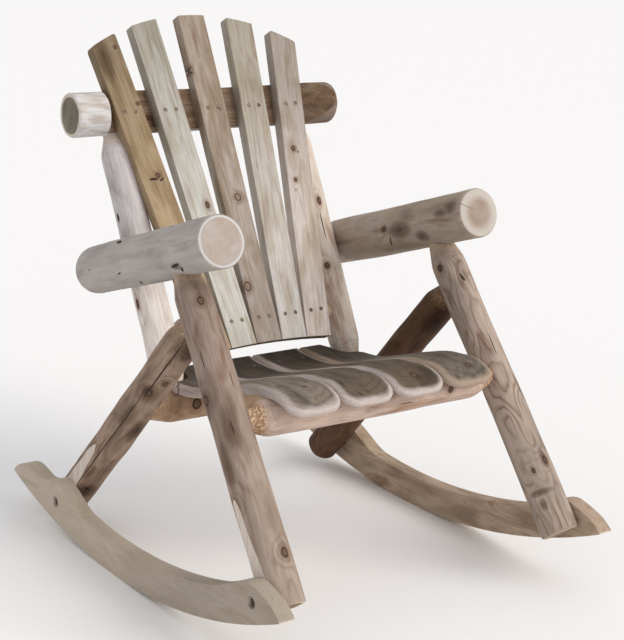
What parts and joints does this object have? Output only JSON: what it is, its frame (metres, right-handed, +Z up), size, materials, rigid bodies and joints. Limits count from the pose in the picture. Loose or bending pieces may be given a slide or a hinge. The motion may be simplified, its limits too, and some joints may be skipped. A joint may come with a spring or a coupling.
{
  "type": "rocking chair",
  "caption": "Rustic peeled-log rocking chair with sawn curved rockers, log arms, a fanned and arched slat back and a scooped slat seat.",
  "frame": {"origin": "on the floor, under the middle of the chair's plan outline; the chair stands as it comes to rest, with its centre of mass above the line where the rockers touch the floor", "axes": "+Z up; -Y the way the sitter faces; +X towards the sitter's left hand"},
  "size_m": [0.794, 1.0326, 1.0625],
  "materials": {
    "peeled_log": "matte",
    "sawn_rocker_plank": "matte",
    "golden_slat": "matte",
    "pale_slat": "matte",
    "pink_slat": "matte",
    "scooped_slat": "matte",
    "bolt_steel": "satin",
    "screw_steel": "satin"
  },
  "bodies": {
    "root": {"left_rocker": "sawn_rocker_plank", "left_front_leg": "peeled_log", "left_rear_leg": "peeled_log", "left_arm": "peeled_log", "left_back_post": "peeled_log", "right_rocker": "sawn_rocker_plank", "right_front_leg": "peeled_log", "right_rear_leg": "peeled_log", "right_arm": "peeled_log", "right_back_post": "peeled_log", "front_seat_rail": "peeled_log", "rear_seat_rail": "peeled_log", "lower_back_rail": "peeled_log", "top_back_rail": "peeled_log", "back_slat_far_right": "golden_slat", "back_slat_right": "pale_slat", "back_slat_centre": "pink_slat", "back_slat_left": "pale_slat", "back_slat_far_left": "pink_slat", "seat_slat_far_right": "scooped_slat", "seat_slat_right": "scooped_slat", "seat_slat_left": "scooped_slat", "seat_slat_far_left": "scooped_slat", "rocker_bolts": "bolt_steel", "rocker_washers": "bolt_steel", "arm_bolts": "bolt_steel", "back_slat_screws": "screw_steel", "seat_slat_screws": "screw_steel"}
  },
  "joints": []
}
